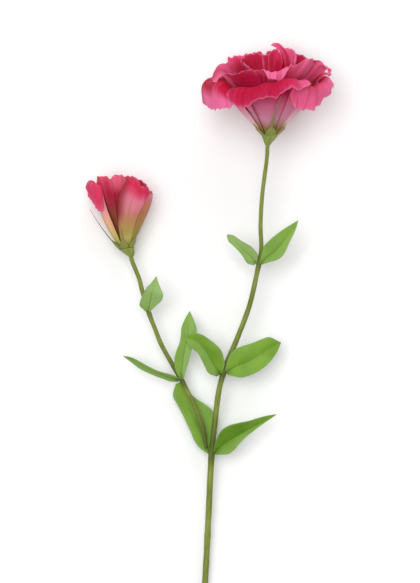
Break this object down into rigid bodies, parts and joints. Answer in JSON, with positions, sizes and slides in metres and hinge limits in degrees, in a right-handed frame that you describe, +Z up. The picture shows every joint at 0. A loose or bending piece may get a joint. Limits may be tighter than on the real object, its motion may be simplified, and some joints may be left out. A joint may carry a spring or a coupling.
{
  "type": "lisianthus flower",
  "caption": "Cut lisianthus stem with an open double pink bloom, a half-open bud on a side branch and oval leaves, lying on its side; for a vase, a bouquet or a table.",
  "frame": {"origin": "middle of the underside of the whole spray, on the surface that it lies on", "axes": "+Y along the stem from its cut end towards the flowers, +Z up from the surface"},
  "size_m": [0.1706, 0.4016, 0.0861],
  "materials": {
    "petal_pink": "satin",
    "bud_pink": "satin",
    "leaf_green": "satin",
    "stem_green": "satin",
    "calyx_green": "satin",
    "stigma_green": "satin",
    "anther_yellow": "matte"
  },
  "bodies": {
    "root": {"bloom_inner_petal_1": "petal_pink", "bloom_inner_petal_2": "petal_pink", "bloom_inner_petal_3": "petal_pink", "bloom_inner_petal_4": "petal_pink", "bloom_inner_petal_5": "petal_pink", "bloom_middle_petal_1": "petal_pink", "bloom_middle_petal_2": "petal_pink", "bloom_middle_petal_3": "petal_pink", "bloom_middle_petal_4": "petal_pink", "bloom_middle_petal_5": "petal_pink", "bloom_outer_petal_1": "petal_pink", "bloom_outer_petal_2": "petal_pink", "bloom_outer_petal_3": "petal_pink", "bloom_outer_petal_4": "petal_pink", "bloom_outer_petal_5": "petal_pink", "bloom_pistil": "stigma_green", "bloom_receptacle": "calyx_green", "bloom_sepal_1": "calyx_green", "bloom_sepal_2": "calyx_green", "bloom_sepal_3": "calyx_green", "bloom_sepal_4": "calyx_green", "bloom_sepal_5": "calyx_green", "bloom_stamen_1": "anther_yellow", "bloom_stamen_2": "anther_yellow", "bloom_stamen_3": "anther_yellow", "bloom_stamen_4": "anther_yellow", "bloom_stamen_5": "anther_yellow", "bud_inner_petal_1": "bud_pink", "bud_inner_petal_2": "bud_pink", "bud_inner_petal_3": "bud_pink", "bud_outer_petal_1": "bud_pink", "bud_outer_petal_2": "bud_pink", "bud_outer_petal_3": "bud_pink", "bud_outer_petal_4": "bud_pink", "bud_outer_petal_5": "bud_pink", "bud_receptacle": "calyx_green", "bud_sepal_1": "calyx_green", "bud_sepal_2": "calyx_green", "bud_sepal_3": "calyx_green", "bud_sepal_4": "calyx_green", "bud_sepal_5": "calyx_green", "fork_leaf_left": "leaf_green", "fork_leaf_right": "leaf_green", "main_stem": "stem_green", "middle_leaf_left": "leaf_green", "middle_leaf_right": "leaf_green", "side_branch": "stem_green", "side_leaf_low": "leaf_green", "side_leaf_small": "leaf_green", "side_leaf_tall": "leaf_green", "upper_leaf_left": "leaf_green", "upper_leaf_right": "leaf_green"}
  },
  "joints": []
}
